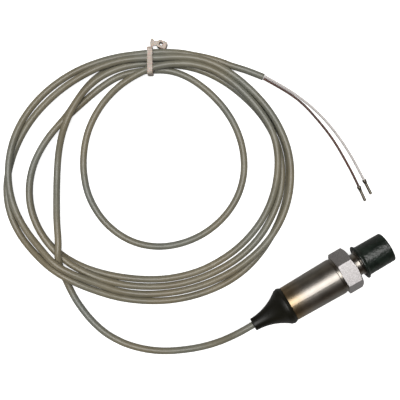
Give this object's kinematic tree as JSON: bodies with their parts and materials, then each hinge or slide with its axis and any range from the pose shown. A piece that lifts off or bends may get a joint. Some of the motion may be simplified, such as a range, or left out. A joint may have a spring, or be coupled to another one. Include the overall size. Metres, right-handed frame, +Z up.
{
  "type": "pressure transmitter",
  "caption": "Slim pressure transmitter in a steel can with hexagon, capped threaded port, flexible boot and a coiled lead held by a tie.",
  "frame": {"origin": "on the floor under the middle of the instrument, which lies on one flat of its hexagon; the free lead and what is on it are left out", "axes": "+X along the instrument from the lead's boot to the pressure port, +Z up from the flat that it lies on"},
  "size_m": [0.1654, 0.1647, 0.019],
  "materials": {
    "stainless": "turned, satin",
    "boot_rubber": "satin",
    "cap_plastic": "satin",
    "jacket_plastic": "matte",
    "brown_insulation": "satin",
    "white_insulation": "satin",
    "tinned_copper": "dull",
    "tie_nylon": "satin",
    "cell_ceramic": "matte",
    "seal_rubber": "matte",
    "plug_plastic": "matte",
    "board_laminate": "satin",
    "chip_plastic": "matte",
    "pin_gold": "bright",
    "turned_brass": "machined"
  },
  "bodies": {
    "transmitter": {"pressure_port": "stainless", "housing_can": "stainless", "strain_relief_boot": "boot_rubber", "end_plug": "plug_plastic", "plug_seal": "seal_rubber", "crimp_sleeve": "turned_brass", "sensing_cell": "cell_ceramic", "cell_seal": "seal_rubber", "retaining_ring": "turned_brass", "front_board": "board_laminate", "rear_board": "board_laminate", "contact_pins": "pin_gold", "link_pins": "pin_gold", "board_spacer": "plug_plastic", "amplifier_parts": "chip_plastic", "filter_parts": "chip_plastic", "inner_core_brown": "brown_insulation", "inner_core_white": "white_insulation", "cable_coil": "jacket_plastic", "cable_tie": "tie_nylon", "cable_lead": "jacket_plastic", "cable_end": "jacket_plastic", "core_brown": "brown_insulation", "core_white": "white_insulation", "ferrule_brown": "tinned_copper", "ferrule_white": "tinned_copper"},
    "cap": {"protective_cap": "cap_plastic"}
  },
  "joints": [
    {"name": "cap_pull", "type": "slide", "parent": "transmitter", "child": "cap", "axis": [1, 0, 0], "range_m": [0, 0.018]}
  ]
}
